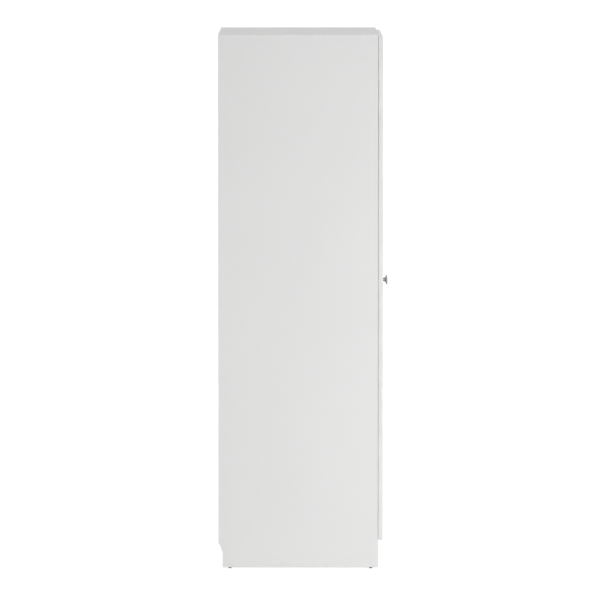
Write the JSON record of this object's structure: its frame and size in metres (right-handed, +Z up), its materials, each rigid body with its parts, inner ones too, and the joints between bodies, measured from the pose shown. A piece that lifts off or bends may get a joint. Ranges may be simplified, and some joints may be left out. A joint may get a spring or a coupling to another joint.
{
  "type": "wardrobe",
  "caption": "Tall wardrobe of white coated boards with hinged doors, small disc knobs, a rounded skirting cut-out at the back, a hat shelf and a clothes rail.",
  "frame": {"origin": "on the floor, in the middle of the whole width and of the whole depth with the knobs", "axes": "+Z up, -Y towards the front with the doors, +X to the right of somebody who faces the doors"},
  "size_m": [0.9, 0.575, 1.8],
  "materials": {
    "coated_board": "white coating over particle board, satin",
    "back_board": "white lacquer over hardboard, satin",
    "back_strip": "satin",
    "edging": "satin",
    "stud_steel": "zinc plated",
    "rail_chrome": "polished",
    "socket_chrome": "satin",
    "screw_steel": "zinc plated",
    "cast_zinc": "die cast zinc, satin",
    "bolt_steel": "yellow zinc plated",
    "dowel_wood": "raw beech",
    "glide_plastic": "matt",
    "bumper_rubber": "soft, milky",
    "bracket_steel": "zinc plated",
    "knob_metal": "brushed nickel",
    "hinge_steel": "nickel plated",
    "pin_steel": "ground"
  },
  "bodies": {
    "carcass": {"top_board": "coated_board", "bottom_board": "coated_board", "plinth_board": "coated_board", "left_side_board": "coated_board", "right_side_board": "coated_board", "hat_shelf": "coated_board", "left_back_leaf": "back_board", "right_back_leaf": "back_board", "back_joining_strip": "back_strip", "upright_edging": "edging", "level_edging": "edging", "shelf_studs": "stud_steel", "clothes_rail": "rail_chrome", "rail_sockets": "socket_chrome", "rail_socket_screws": "screw_steel", "cam_locks": "cast_zinc", "cam_bolts": "bolt_steel", "wooden_dowels": "dowel_wood", "glides": "glide_plastic", "wall_brackets": "bracket_steel", "wall_bracket_screws": "screw_steel", "left_hinge_plates": "cast_zinc", "left_hinge_arms": "hinge_steel", "left_plate_screws": "screw_steel", "left_arm_screws": "screw_steel", "left_arm_pins": "pin_steel", "right_hinge_plates": "cast_zinc", "right_hinge_arms": "hinge_steel", "right_plate_screws": "screw_steel", "right_arm_screws": "screw_steel", "right_arm_pins": "pin_steel", "door_bumpers": "bumper_rubber"},
    "left_inner_link_set": {"left_inner_links": "hinge_steel"},
    "left_door": {"left_door_board": "coated_board", "left_door_long_edging": "edging", "left_door_short_edging": "edging", "left_knob": "knob_metal", "left_knob_screw": "screw_steel", "left_hinge_cups": "hinge_steel", "left_cup_pins": "pin_steel", "left_cup_screws": "screw_steel"},
    "left_outer_link_set": {"left_outer_links": "hinge_steel"},
    "right_inner_link_set": {"right_inner_links": "hinge_steel"},
    "right_door": {"right_door_board": "coated_board", "right_door_long_edging": "edging", "right_door_short_edging": "edging", "right_knob": "knob_metal", "right_knob_screw": "screw_steel", "right_hinge_cups": "hinge_steel", "right_cup_pins": "pin_steel", "right_cup_screws": "screw_steel"},
    "right_outer_link_set": {"right_outer_links": "hinge_steel"}
  },
  "joints": [
    {"name": "left_inner_link_turn", "type": "hinge", "parent": "carcass", "child": "left_inner_link_set", "pos_m": [-0.398, -0.2467, 0.944], "axis": [0, 0, -1], "range_deg": [-23.57, 0]},
    {"name": "left_door_swing", "type": "hinge", "parent": "left_inner_link_set", "child": "left_door", "pos_m": [-0.4365, -0.25385, 0.944], "axis": [0, 0, -1], "range_deg": [0, 118.56]},
    {"name": "left_outer_link_turn", "type": "hinge", "parent": "left_door", "child": "left_outer_link_set", "pos_m": [-0.4386, -0.259, 0.944], "axis": [0, 0, -1], "range_deg": [-108.03, 0]},
    {"name": "right_inner_link_turn", "type": "hinge", "parent": "carcass", "child": "right_inner_link_set", "pos_m": [0.398, -0.2467, 0.944], "axis": [0, 0, 1], "range_deg": [-23.57, 0]},
    {"name": "right_door_swing", "type": "hinge", "parent": "right_inner_link_set", "child": "right_door", "pos_m": [0.4365, -0.25385, 0.944], "axis": [0, 0, 1], "range_deg": [0, 118.56]},
    {"name": "right_outer_link_turn", "type": "hinge", "parent": "right_door", "child": "right_outer_link_set", "pos_m": [0.4386, -0.259, 0.944], "axis": [0, 0, 1], "range_deg": [-108.03, 0]}
  ],
  "couplings": [
    {"joint": "left_inner_link_turn", "follows": "left_door_swing", "ratio": -0.19872},
    {"joint": "left_outer_link_turn", "follows": "left_door_swing", "ratio": -0.91106},
    {"joint": "right_inner_link_turn", "follows": "right_door_swing", "ratio": -0.19872},
    {"joint": "right_outer_link_turn", "follows": "right_door_swing", "ratio": -0.91106}
  ]
}
